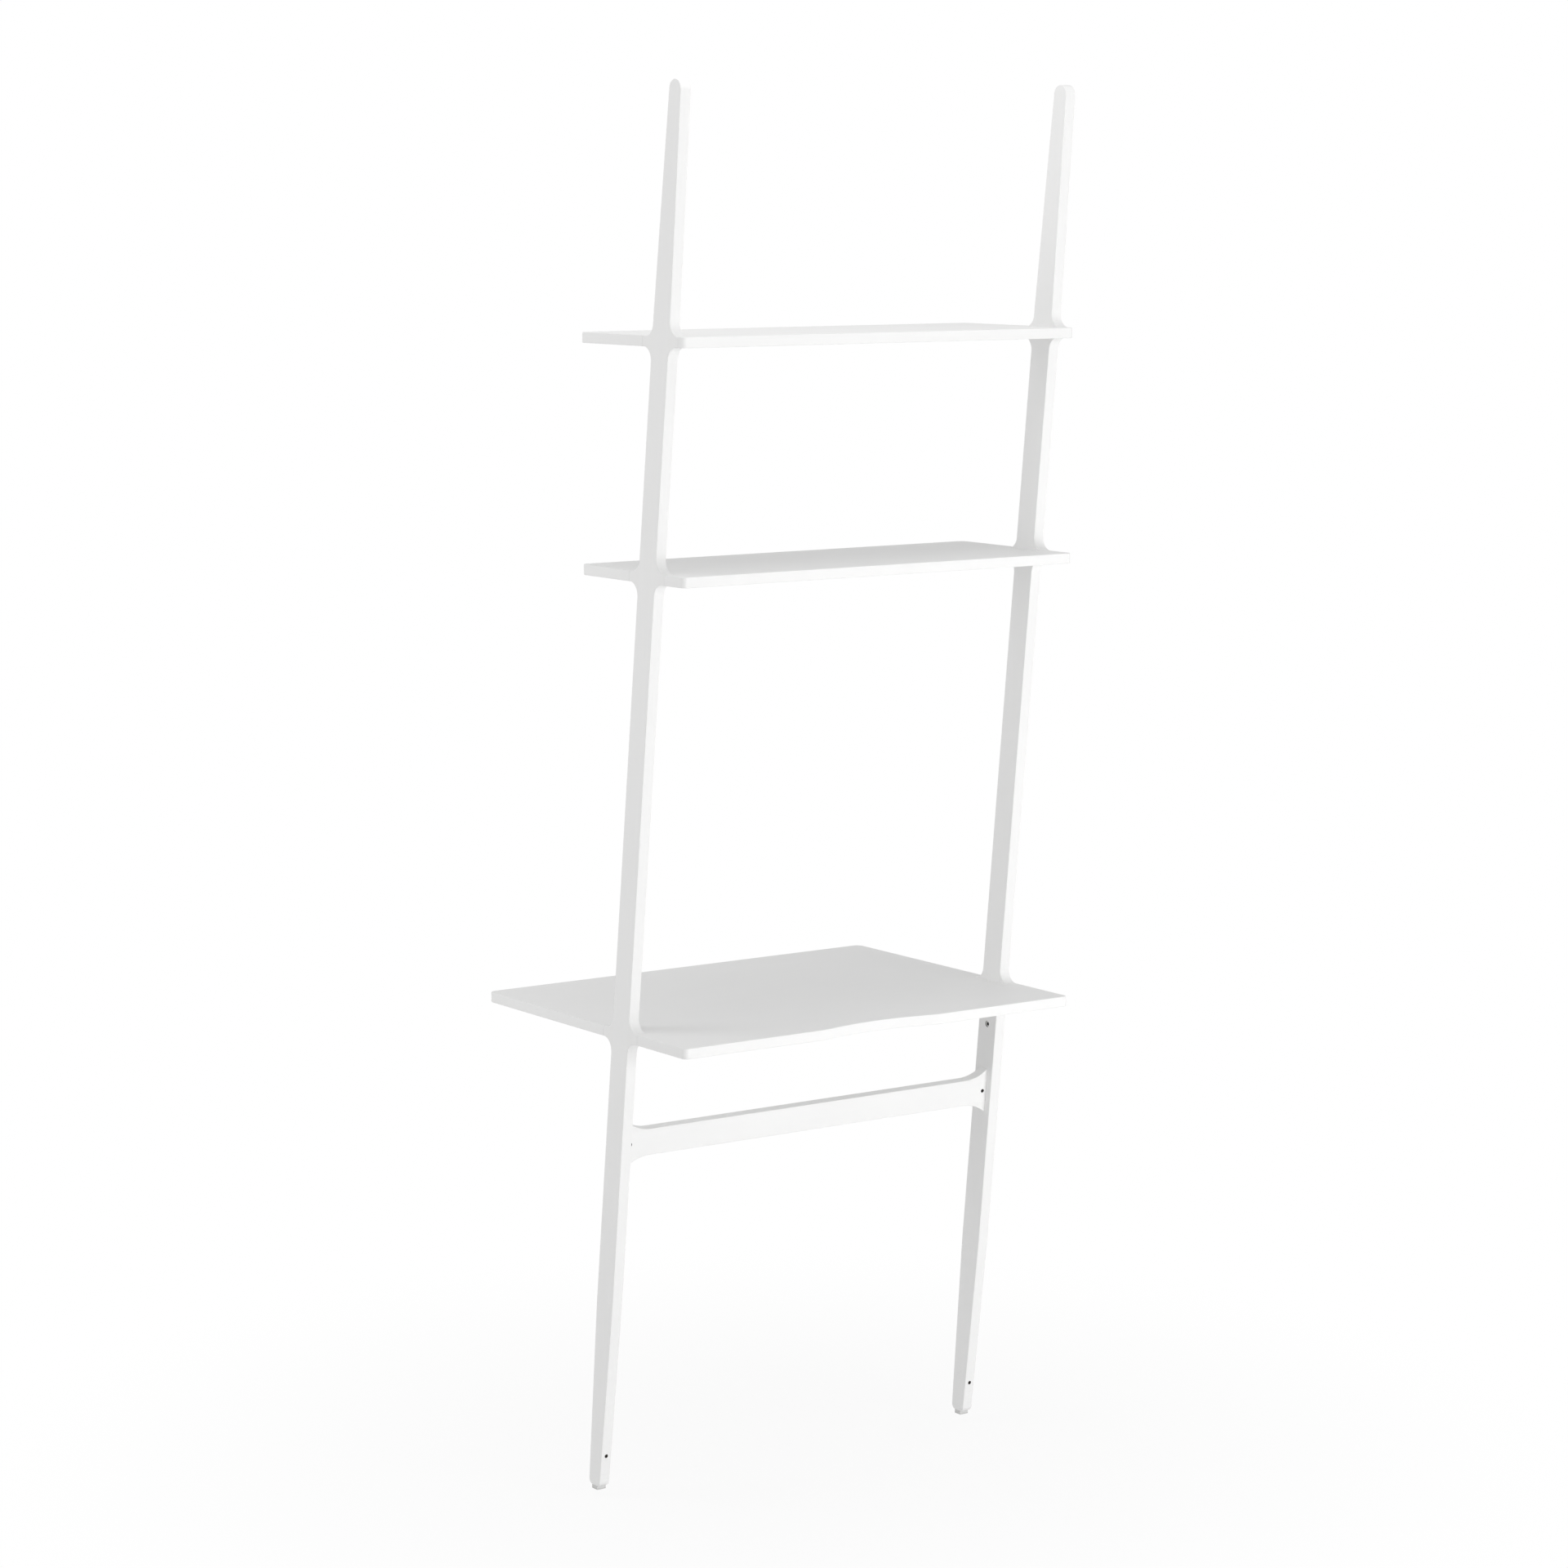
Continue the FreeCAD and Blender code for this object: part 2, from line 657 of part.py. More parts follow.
def make_sleeves(label):
    """Sleeves in the legs' ends that guide the stems, each with a side hole for its lock screw."""
    length = f"{sleeve_top} - {leg_end}"
    bore = "dims.stem_diameter / 2 + dims.fit_gap"
    place = (upright_middle, stem_line, leg_end)
    shell = cylinder(f"{label}_shell", f"{bore} + dims.sleeve_wall", length, place)
    hollow = cylinder(f"{label}_hollow", bore, length, place)
    side_place = (upright_middle, stem_line, "dims.lock_height")
    side_radius = "dims.lock_screw_diameter / 2 + dims.fit_gap"
    side_hole = cylinder(f"{label}_side", side_radius, "dims.upright_width", side_place)
    tip_over(side_hole, "90 deg")
    tube = cut(f"{label}_tube", shell, hollow)
    return both_sides(label, [cut(f"{label}_right", tube, side_hole)])


def foot_block(body, name, low, height):
    """Small block under the leg, centred on the stem, with rounded corners."""
    sketch = new_sketch(body, f"{name}_outline", "XY_Plane", low)
    half_x, half_y = "dims.foot_width / 2", "dims.foot_length / 2"
    draw_outline(sketch, rectangle(
        f"{upright_middle} - {half_x}",
        f"{stem_line} - {half_y}",
        f"{upright_middle} + {half_x}",
        f"{stem_line} + {half_y}",
    ))
    pad(body, sketch, name, height)

    def upright_edge(edge):
        return lies_at(edge, "X", edge.CenterOfMass.x) and lies_at(edge, "Y", edge.CenterOfMass.y)

    round_edges(body, f"{name}_corners", upright_edge, "dims.foot_edge_radius")


def make_foot(label):
    """Levelling foot: block under the leg with a round stem that slides in the sleeve."""
    body = new_body(label)
    foot_block(body, "block", "dims.glide_height", "dims.foot_height")
    base = "(dims.glide_height + dims.foot_height)"
    stem = new_sketch(body, "stem_outline", "XY_Plane", base)
    draw_circle(stem, upright_middle, stem_line, "dims.stem_diameter / 2")
    pad(body, stem, "stem", f"{stem_top} - {base}")
    return body


def make_glide(label):
    """Pad that the foot stands on, rounded where it meets the floor."""
    body = new_body(label)
    foot_block(body, "block", "0", "dims.glide_height")

    def sole_edge(edge):
        return lies_at(edge, "Z", 0)

    round_edges(body, "sole_rounding", sole_edge, "dims.foot_edge_radius")
    return body


right_upright = make_upright("right_upright")
right_foot = make_foot("right_foot")
right_glide = make_glide("right_glide")
pieces = [
    right_upright,
    mirrored_piece(right_upright, "left_upright"),
    make_board("desk_top", "dims.desk_depth", recess_corners()),
    make_board("middle_shelf", "dims.shelf_depth"),
    make_board("top_shelf", "dims.shelf_depth"),
    make_stretcher("stretcher"),
    make_stretcher_pins("stretcher_pins"),
    make_stretcher_screws("stretcher_lock_screws"),
    make_inserts("desk_inserts"),
    make_sleeves("foot_sleeves"),
    make_foot_screws("foot_lock_screws"),
    right_foot,
    mirrored_piece(right_foot, "left_foot"),
    right_glide,
    mirrored_piece(right_glide, "left_glide"),
]
for board, name in (("desk_top", "desk"), ("middle_shelf", "middle_shelf"), ("top_shelf", "top_shelf")):
    pieces.append(make_dowels(f"{name}_dowels", board))
    pieces.append(make_bolts(f"{name}_bolts", board))
    pieces.append(make_cams(f"{name}_cams", board))
doc.recompute()

# Every object has to be sound before anything is written
for thing in doc.Objects:
    if "Invalid" in thing.State or "Error" in thing.State:
        raise RuntimeError(f"{thing.Label} failed: {thing.State}")
for piece in pieces:
    if piece.Shape.isNull() or not piece.Shape.isValid():
        raise RuntimeError(f"{piece.Label} has no valid shape")

os.makedirs("parts", exist_ok=True)
for piece in pieces:
    piece.Shape.exportStep(f"parts/{piece.Label}.step")
    solids = piece.Shape.Solids
    print(piece.Label, len(solids), "solids", round(sum(solid.Volume for solid in solids)), "mm3")
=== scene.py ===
# %% [markdown]
# A ladder desk: two slim uprights lean back to the wall and carry a deep desk top
# and two shelves. The solids come from the CAD model, whose nodes stay where they are.
# This lesson gives them their finishes, models the small metal parts in full detail,
# and sets up the studio. First the frame is loaded. The dressed desk may not grow past
# it. Lengths are in metres where nothing else is said.

# %% Load the frame
import math

import bmesh
import bpy
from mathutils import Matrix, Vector


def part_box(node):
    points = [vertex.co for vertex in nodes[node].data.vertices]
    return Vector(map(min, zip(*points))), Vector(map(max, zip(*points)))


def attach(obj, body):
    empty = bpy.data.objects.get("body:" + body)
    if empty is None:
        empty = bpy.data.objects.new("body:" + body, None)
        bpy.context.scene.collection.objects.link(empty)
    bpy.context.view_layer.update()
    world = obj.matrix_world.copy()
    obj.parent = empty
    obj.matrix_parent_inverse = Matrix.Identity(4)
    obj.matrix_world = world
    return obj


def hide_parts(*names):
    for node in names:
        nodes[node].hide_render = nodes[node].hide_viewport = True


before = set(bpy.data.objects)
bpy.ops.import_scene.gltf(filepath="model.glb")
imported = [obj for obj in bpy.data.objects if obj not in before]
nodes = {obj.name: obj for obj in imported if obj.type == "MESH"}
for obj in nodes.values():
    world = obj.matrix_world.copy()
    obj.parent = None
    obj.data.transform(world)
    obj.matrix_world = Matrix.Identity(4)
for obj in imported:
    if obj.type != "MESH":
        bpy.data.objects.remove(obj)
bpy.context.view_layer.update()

# %% [markdown]
# The photograph was taken from behind the desk, off to its right-hand end, with the
# camera a little lower than the uprights' tips. A long lens keeps the upright edges
# nearly parallel. A camera could be aimed by hand, but here its place and aim were
# solved from the edges in the photograph, so they are simply written down. Blender's
# cameras look along their own -Z, which to_track_quat turns onto the line of sight.

# %% Camera
CAMERA_PLACE = (3.782551, 5.388862, 1.994152)
SIGHT_TURN = math.radians(35.156)
SIGHT_DIP = math.radians(8.029)
SENSOR_MM = 36
LENS_MM = 97.93
VIEW_REACH = 100

line_of_sight = Vector((
    -math.sin(SIGHT_TURN) * math.cos(SIGHT_DIP),
    -math.cos(SIGHT_TURN) * math.cos(SIGHT_DIP),
    -math.sin(SIGHT_DIP),
))
bpy.ops.object.camera_add(location=CAMERA_PLACE)
camera = bpy.context.object
camera.name = "photo_camera"
camera.rotation_euler = line_of_sight.to_track_quat("-Z", "Y").to_euler()
camera.data.sensor_width = SENSOR_MM
camera.data.lens = LENS_MM
camera.data.clip_end = VIEW_REACH
bpy.context.scene.camera = camera
print("camera aims along", [round(part, 3) for part in line_of_sight])

# %% [markdown]
# Every finish below is a network of shader nodes. Wiring them one by one hides the
# idea, so a small class wraps a node's output and lets it be added, multiplied or
# compared like a number. Each such sum adds a Math node, and the reflected forms let
# a plain number stand first, as in 1 - mask.

# %% Sums with node outputs
class Level:
    """A node's output, to be used in sums."""

    def __init__(self, finish, socket):
        self.finish = finish
        self.socket = socket

    def pair(self, operation, first, second):
        return self.finish.node("ShaderNodeMath", {"operation": operation}, {0: first, 1: second})

    def __add__(self, other):
        return self.pair("ADD", self, other)

    def __radd__(self, other):
        return self.pair("ADD", other, self)

    def __sub__(self, other):
        return self.pair("SUBTRACT", self, other)

    def __rsub__(self, other):
        return self.pair("SUBTRACT", other, self)

    def __mul__(self, other):
        return self.pair("MULTIPLY", self, other)

    def __rmul__(self, other):
        return self.pair("MULTIPLY", other, self)

    def __pow__(self, other):
        return self.pair("POWER", self, other)

    def __abs__(self):
        return self.pair("ABSOLUTE", self, 0.0)

    def most(self, other):
        return self.pair("MAXIMUM", self, other)


print("sums ready:", Level.__doc__)

# %% [markdown]
# All other nodes come from one method, which sets a node's options first and then
# fills or links its inputs. A few short methods name what a finisher thinks in: noise
# at a number of repeats in a metre, a soft step, a blend of two colours, a relief of
# so many metres. Object coordinates are metres on this desk, so every size is real.

# %% Node networks
class Finish:
    """The node network of a material, or of the world."""

    def __init__(self, owner, shader="Principled BSDF"):
        self.owner = owner
        owner.use_nodes = True
        self.tree = owner.node_tree
        self.shader = self.tree.nodes[shader]

    def node(self, kind, settings, inputs, output=0):
        made = self.tree.nodes.new(kind)
        for name, value in settings.items():
            setattr(made, name, value)
        self.wire(made, inputs)
        return Level(self, made.outputs[output])

    def wire(self, made, inputs):
        for key, value in inputs.items():
            if isinstance(value, Level):
                self.tree.links.new(value.socket, made.inputs[key])
            else:
                made.inputs[key].default_value = value

    def place(self):
        """Where a point is, in metres."""
        return self.node("ShaderNodeTexCoord", {}, {}, "Object")

    def axes(self):
        """The same as three numbers."""
        split = self.node("ShaderNodeSeparateXYZ", {}, {0: self.place()}).socket.node
        return [Level(self, socket) for socket in split.outputs]

    def noise(self, repeats, detail=2.0, rough=0.5, distort=0.0):
        """Noise with so many repeats in a metre: one count, or one each along x, y and z."""
        counts = repeats if isinstance(repeats, (list, tuple)) else (repeats,) * 3
        spot = self.node("ShaderNodeMapping", {}, {"Vector": self.place(), "Scale": counts})
        return self.node("ShaderNodeTexNoise", {}, {
            "Vector": spot, "Scale": 1.0, "Detail": detail, "Roughness": rough, "Distortion": distort,
        })

    def step(self, value, low, high, start=0.0, end=1.0):
        """Start up to low, end from high on, and an even S between them."""
        return self.node("ShaderNodeMapRange", {"interpolation_type": "SMOOTHSTEP"}, {
            0: value, 1: low, 2: high, 3: start, 4: end,
        })

    def blend(self, amount, first, second):
        """From the first colour to the second."""
        return self.node("ShaderNodeMix", {"data_type": "RGBA"}, {0: amount, 6: first, 7: second}, 2)

    def relief(self, height, deep):
        """A normal bent by a height of so many metres."""
        return self.node("ShaderNodeBump", {}, {"Height": height, "Distance": deep, "Strength": 1.0})

    def shown(self):
        """One for what the camera sees, also in a reflection or through glass, and else nothing."""
        sight, mirrored, through = (
            self.node("ShaderNodeLightPath", {}, {}, f"Is {kind} Ray")
            for kind in ("Camera", "Glossy", "Transmission")
        )
        return sight.most(mirrored).most(through)

    def use(self, **inputs):
        """Feeds the shader. An underscore stands for the space in an input's name."""
        self.wire(self.shader, {name.replace("_", " "): value for name, value in inputs.items()})
        return self.owner


def coat(material, *names):
    """Puts a finish on CAD nodes."""
    for name in names:
        nodes[name].data.materials.clear()
        nodes[name].data.materials.append(material)
    print(material.name, "on", ", ".join(names))


print("networks ready:", Finish.__doc__)

# %% [markdown]
# All the wood is sprayed with a white satin lacquer. Close up it isn't quite even: the
# spray dries in a fine orange peel, the grain below still shows as faint streaks along
# each piece, and the sheen changes where hands have rubbed it. An image could be laid
# over the parts, but noise in object coordinates needs no unwrapping and runs on round
# the edges as real spray does. Spray draws back from a sharp edge as it dries, so along
# the edges the film is thinner, a shade warmer and rubbed smoother. Inside the drilled
# holes the colour is painted dark brown, as painted shade for the shadow in them. The
# masks for edges, scuffs and the painted shade in holes differ from piece to piece, and are handed in.

# %% White satin lacquer
DULL_WHITE = (0.86, 0.86, 0.856, 1)
FULL_WHITE = (0.92, 0.92, 0.917, 1)
THIN_FILM = (0.78, 0.77, 0.745, 1)
SCUFF_GREY = (0.6, 0.59, 0.57, 1)
BURNT_FIBRE = (0.11, 0.10, 0.088, 1)
BARE_FIBRE = (0.19, 0.172, 0.15, 1)
FILM_RELIEF = 0.00022


def lacquer(name, streaks, edge_of, scuff_of=None, bores_of=None):
    """White lacquer over streaks that repeat so many times in a metre along x, y and z."""
    finish = Finish(bpy.data.materials.new(name))
    grain = finish.noise(streaks, detail=4.0, rough=0.6)
    pores = finish.noise([6 * count for count in streaks])
    peel = finish.noise(480, detail=1.0)
    clouds = finish.noise(4, detail=3.0, distort=0.4)
    rubbed = finish.noise(38, detail=4.0, rough=0.65)
    edge = edge_of(finish) * finish.step(rubbed, 0.35, 0.65, 0.35, 1.0)
    white = finish.blend(0.7 * clouds + 0.3 * grain, DULL_WHITE, FULL_WHITE)
    colour = finish.blend(0.12 * edge, white, THIN_FILM)
    rough = 0.46 + 0.12 * clouds + 0.08 * rubbed - 0.12 * edge
    if scuff_of:
        scuff = scuff_of(finish)
        colour = finish.blend(0.1 * scuff, colour, SCUFF_GREY)
        rough = rough + 0.15 * scuff
    if bores_of:
        bare = bores_of(finish)
        # Painted shade: the holes are painted dark brown, standing in for the shadow inside them.
        colour = finish.blend(bare, colour, finish.blend(peel, BURNT_FIBRE, BARE_FIBRE))
        rough = rough.most(0.9 * bare)
    return finish.use(
        Base_Color=colour,
        Roughness=rough,
        Normal=finish.relief(0.55 * grain + 0.25 * pores + 0.2 * peel, FILM_RELIEF),
        IOR=1.45,
        Specular_IOR_Level=0.35,
    )


print("lacquer ready, with a relief of", FILM_RELIEF, "m")

# %% [markdown]
# A board is a slab with rounded corners. How near a point lies to its rim is a known
# sum: take the corner radius off the half sizes, and measure from what is left. A point
# is on an edge where it is near the rim and near the upper or lower face at once, so the
# mask is one soft step times the other. The thin film starts 3.5 mm from an edge and is
# full 0.4 mm from it. Streaks run along the board.

# %% Boards
STREAKS_ALONG_X = (5, 90, 90)
BOARD_CORNER = 0.010
FILM_START = 0.0035
FILM_FULL = 0.0004


def near_edge(finish, distance, half):
    """The mask of an edge, from the distance to the middle and the half size there."""
    return finish.step(distance, half - FILM_START, half - FILM_FULL)


def board_edge(low, high):
    """The mask of the edges of a board between two corners."""
    centre = (low + high) / 2
    half = (high - low) / 2

    def mask(finish):
        x, y, z = finish.axes()
        over_x = (abs(x) - (half.x - BOARD_CORNER)).most(0.0)
        over_y = (abs(y - centre.y) - (half.y - BOARD_CORNER)).most(0.0)
        rim = (over_x * over_x + over_y * over_y) ** 0.5
        return near_edge(finish, rim, BOARD_CORNER) * near_edge(finish, abs(z - centre.z), half.z)
    return mask


for board in ("desk_top", "middle_shelf", "top_shelf"):
    edges = board_edge(*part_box(board))
    coat(lacquer(f"lacquer_{board}", STREAKS_ALONG_X, edges), board)

# %% [markdown]
# The bar leans with the uprights, so its thickness is measured across the lean and its
# height along it. Near each end a lock screw's hole is drilled into its rear face, and its
# inside is painted dark as painted shade. The mask of a hole stops short of its rim, where the lacquer still
# covers the edge.

# %% Bar
LEAN = 0.112
LEAN_COSINE = math.cos(math.atan(LEAN))
FOOT_LINE = 0.0215
BAR_THICKNESS = 0.018
BAR_HEIGHT = 0.042
LOCK_SCREW_RADIUS = 0.003
BORE_END = 0.0003
BORE_FULL = 0.0001
RIM_FADE = 0.0003
HOLE_RIM = 0.0001


def middle(node):
    """The middle of a CAD node's box."""
    low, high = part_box(node)
    return (low + high) / 2


bar = middle("stretcher")
bar_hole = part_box("stretcher_lock_screws")[1].x - LOCK_SCREW_RADIUS


def behind_lean(y, z):
    """How far a point lies behind the leaning middle plane of the uprights."""
    return (y - (FOOT_LINE + LEAN * z)) * LEAN_COSINE


def up_bar(y, z):
    """How far a point lies above the middle of the bar, along the lean."""
    return z - bar.z + LEAN * (y - bar.y)


def bar_edge(finish):
    y, z = finish.axes()[1:]
    across = near_edge(finish, abs(behind_lean(y, z)), BAR_THICKNESS / 2)
    return across * near_edge(finish, abs(up_bar(y, z)), BAR_HEIGHT / 2)


def round_bore(finish, first, second, radius):
    """The mask of a bore, from the distances to its axis along two directions."""
    return finish.step((first * first + second * second) ** 0.5, radius + BORE_END, radius + BORE_FULL)


def within(finish, distance, half, rim):
    """The mask of what lies further in than the rim, from the distance to the middle and the half size."""
    return finish.step(distance, half - rim, half - rim - RIM_FADE)


def bar_bores(finish):
    """The painted shade in the lock screws' holes in the rear half of the bar, but not their rims."""
    x, y, z = finish.axes()
    half_depth = BAR_THICKNESS / 4
    depth = within(finish, abs(behind_lean(y, z) - half_depth), half_depth, HOLE_RIM)
    return round_bore(finish, abs(x) - bar_hole, up_bar(y, z), LOCK_SCREW_RADIUS) * depth


coat(lacquer("lacquer_bar", STREAKS_ALONG_X, bar_edge, bores_of=bar_bores), "stretcher")

# %% [markdown]
# Each upright is a blade 44 mm wide and 18 mm thick that leans back by about one in
# nine and narrows to its tip and its foot. Its edge mask follows that lean: how far a
# point is from the blade's middle line, against the half width at that height. Low down,
# shoes and mops leave faint grey scuffs that run along the floor. The lock screw's hole
# in the rear edge and the hole behind the threaded insert are painted dark, as painted shade.

# %% Uprights
STREAKS_ALONG_Z = (90, 90, 5)
BLADE_HALF = 0.022
LEG_TAPER_TOP = 0.298
LEG_END = 0.006
LEG_TAPER = 0.0072
TIP_TAPER_START = 1.8
TIP_END = 2.126
TIP_TAPER = 0.007
BLADE_RIM = 0.0003
INSERT_HOLE_RADIUS = 0.005
INSERT_HOLE_DEPTH = 0.016
SCUFF_TOP = 0.12
SCUFF_FULL = 0.02

low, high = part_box("right_upright")
inner_face = low.x
upright_middle = (low.x + high.x) / 2
upright_half = (high.x - low.x) / 2
leg_screw = middle("foot_lock_screws")
insert_place = middle("desk_inserts")


def beyond_blade(finish, y, z):
    """How far a point lies outside the blade's front or rear edge."""
    leg_loss = finish.step(z, LEG_TAPER_TOP, LEG_END, 0.0, LEG_TAPER)
    tip_loss = finish.step(z, TIP_TAPER_START, TIP_END, 0.0, TIP_TAPER)
    return abs(behind_lean(y, z)) - (BLADE_HALF - leg_loss - tip_loss)


def upright_edge(finish):
    x, y, z = finish.axes()
    along_blade = near_edge(finish, beyond_blade(finish, y, z), 0.0)
    return along_blade * near_edge(finish, abs(abs(x) - upright_middle), upright_half)


def upright_bores(finish):
    """The painted shade in the lock screw's hole and the insert's hole, but not their rims."""
    x, y, z = finish.axes()
    inside = within(finish, beyond_blade(finish, y, z), 0.0, BLADE_RIM)
    screw_hole = round_bore(finish, abs(x) - upright_middle, z - leg_screw.z, LOCK_SCREW_RADIUS)
    half_depth = INSERT_HOLE_DEPTH / 2
    depth = within(finish, abs(abs(x) - (inner_face + half_depth)), half_depth, HOLE_RIM)
    insert_hole = round_bore(finish, y - insert_place.y, z - insert_place.z, INSERT_HOLE_RADIUS)
    return (screw_hole * inside).most(insert_hole * depth)


def floor_scuffs(finish):
    z = finish.axes()[2]
    marks = finish.step(finish.noise((60, 60, 260), detail=4.0, rough=0.7), 0.56, 0.68)
    return marks * finish.step(z, SCUFF_TOP, SCUFF_FULL)


coat(
    lacquer("lacquer_uprights", STREAKS_ALONG_Z, upright_edge, floor_scuffs, upright_bores),
    "right_upright", "left_upright",
)

# %% [markdown]
# The hidden and half-hidden hardware is zinc plated steel. Plating grows in small
# crystals, so close up its sheen is patchy, with a faint blue and straw tint from the
# bath that seals it. Cells of a Voronoi pattern about a millimetre across give each
# crystal its own grey and roughness, and fine noise on top stands for the pickled steel.
# In the threaded inserts, the thread is painted nearly black, as painted shade in the bore.

# %% Zinc plated steel
ZINC_DARK = (0.50, 0.51, 0.53, 1)
ZINC_PALE = (0.70, 0.705, 0.70, 1)
STRAW_TINT = (0.66, 0.62, 0.50, 1)
OLD_OIL = (0.030, 0.028, 0.025, 1)
CRYSTALS = 900.0
METAL_RELIEF = 0.00002
OIL_RADIUS = 0.0029
OIL_START = 0.0012
OIL_FULL = 0.0018


def zinc(name, oil_of=None):
    """Zinc plate, with painted shade where a mask says so."""
    finish = Finish(bpy.data.materials.new(name))
    cells = finish.node("ShaderNodeTexVoronoi", {}, {"Vector": finish.place(), "Scale": CRYSTALS}, "Color")
    crystal = finish.node("ShaderNodeSeparateColor", {}, {0: cells}, "Red")
    fine = finish.noise(2600, detail=3.0)
    bath = finish.noise(160, detail=2.0)
    metal = finish.blend(0.6 * crystal + 0.4 * fine, ZINC_DARK, ZINC_PALE)
    colour = finish.blend(0.3 * finish.step(bath, 0.45, 0.65), metal, STRAW_TINT)
    rough = 0.26 + 0.12 * crystal + 0.14 * fine
    if oil_of:
        oil = oil_of(finish)
        # Painted shade: the insert's thread is painted nearly black, standing in for the shadow in its bore.
        colour = finish.blend(0.9 * oil, colour, OLD_OIL)
        rough = rough + 0.25 * oil
    normal = finish.relief(fine, METAL_RELIEF)
    return finish.use(Base_Color=colour, Roughness=rough, Metallic=1.0, Normal=normal)


def insert_oil(finish):
    """The mask of the painted shade on the insert's inner thread, behind its countersink."""
    x, y, z = finish.axes()
    thread_bore = round_bore(finish, y - insert_place.y, z - insert_place.z, OIL_RADIUS)
    return thread_bore * finish.step(abs(x), inner_face + OIL_START, inner_face + OIL_FULL)


coat(
    zinc("zinc_plate"),
    "desk_bolts", "middle_shelf_bolts", "top_shelf_bolts", "desk_cams", "middle_shelf_cams", "top_shelf_cams",
    "stretcher_pins", "foot_sleeves",
)
insert_zinc = zinc("insert_zinc", insert_oil)
coat(insert_zinc, "desk_inserts")

# %% [markdown]
# The headless lock screws are hardened steel, blackened in a hot bath. The black is a
# thin oxide: nearly colourless, a little brown where it has worn, and it keeps the dull
# shine of the steel below. So the shader stays a metal, and only its colour is dark.

# %% Blackened steel
OXIDE_BLACK = (0.035, 0.035, 0.037, 1)
OXIDE_GREY = (0.075, 0.075, 0.08, 1)
WORN_BROWN = (0.16, 0.13, 0.10, 1)

black = Finish(bpy.data.materials.new("blackened_steel"))
oxide = black.noise(1400, detail=3.0)
worn = black.step(black.noise(420, detail=2.0), 0.55, 0.75)
black.use(
    Base_Color=black.blend(0.5 * worn, black.blend(oxide, OXIDE_BLACK, OXIDE_GREY), WORN_BROWN),
    Roughness=0.42 + 0.2 * oxide - 0.1 * worn,
    Metallic=1.0,
    Normal=black.relief(oxide, METAL_RELIEF),
)
coat(black.owner, "stretcher_lock_screws", "foot_lock_screws")

# %% [markdown]
# The dowels are plain beech, glued into the board ends. Beech is pinkish brown with
# fine darker flecks along the grain, and dowels are cut along it, so the pattern is
# stretched along x. They are seen only when the desk is taken apart.

# %% Beech dowels
BEECH_DARK = (0.52, 0.36, 0.21, 1)
BEECH_PALE = (0.74, 0.58, 0.40, 1)
FLECK_BROWN = (0.36, 0.22, 0.12, 1)
GRAIN_RELIEF = 0.0001

beech = Finish(bpy.data.materials.new("beech"))
fibres = beech.noise((30, 900, 900), detail=4.0, rough=0.6)
flecks = beech.step(beech.noise((350, 2200, 2200), detail=1.0), 0.6, 0.7)
beech.use(
    Base_Color=beech.blend(0.6 * flecks, beech.blend(fibres, BEECH_DARK, BEECH_PALE), FLECK_BROWN),
    Roughness=0.55 + 0.25 * fibres,
    Normal=beech.relief(fibres - 0.5 * flecks, GRAIN_RELIEF),
)
coat(beech.owner, "desk_dowels", "middle_shelf_dowels", "top_shelf_dowels")

# %% [markdown]
# The feet are light grey mouldings: a block on a stem, with a softer and darker glide
# below it that takes the floor. Injection moulds are spark eroded, which leaves a fine
# pebbled skin, and a glide that has slid over floors is rubbed and dusty underneath.
# One function makes both, with the greys, the pebbles in a metre and the share of dust
# handed in.

# %% Moulded feet
FOOT_GREYS = ((0.62, 0.62, 0.615, 1), (0.72, 0.72, 0.715, 1))
GLIDE_GREYS = ((0.54, 0.54, 0.535, 1), (0.66, 0.66, 0.655, 1))
FLOOR_DUST = (0.42, 0.40, 0.37, 1)
DUST_TOP = 0.0025
PEBBLE_RELIEF = 0.00006


def moulded(name, greys, pebble, dust):
    """Moulded plastic between two greys, dusty near the floor."""
    finish = Finish(bpy.data.materials.new(name))
    z = finish.axes()[2]
    pebbles = finish.noise(pebble, detail=2.0, rough=0.6)
    flow = finish.noise((120, 120, 60), detail=3.0, distort=0.6)
    patches = finish.step(finish.noise(700, detail=4.0), 0.35, 0.65)
    grime = dust * finish.step(z, DUST_TOP, 0.0) * patches
    return finish.use(
        Base_Color=finish.blend(grime, finish.blend(flow, *greys), FLOOR_DUST),
        Roughness=0.5 + 0.18 * pebbles + 0.15 * grime,
        Normal=finish.relief(pebbles, PEBBLE_RELIEF),
        IOR=1.49,
    )


coat(moulded("foot_moulding", FOOT_GREYS, pebble=2600, dust=0.1), "right_foot", "left_foot")
coat(moulded("glide_moulding", GLIDE_GREYS, pebble=1500, dust=0.7), "right_glide", "left_glide")

# %% [markdown]
# The small metal parts are turned on a lathe, and they can be made the same way here: a
# half outline is drawn point by point, by extruding one vertex, and spun about its axis.
# The first vertex is a plane merged to its middle. After the spin, doubles are merged,
# which also closes the poles and the seam, and the normals are recalculated, because a
# spin can leave them pointing inwards. The piece is turned in its place on the desk.

# %% A lathe
MM = 0.001
SPIN_STEPS = 48
SAME_PLACE_MM = 0.005


def tidy_mesh():
    """Merges doubles, turns the faces outwards and leaves edit mode."""
    bpy.ops.mesh.select_all(action="SELECT")
    bpy.ops.mesh.remove_doubles(threshold=SAME_PLACE_MM * MM)
    bpy.ops.mesh.normals_make_consistent(inside=False)
    bpy.ops.object.mode_set(mode="OBJECT")


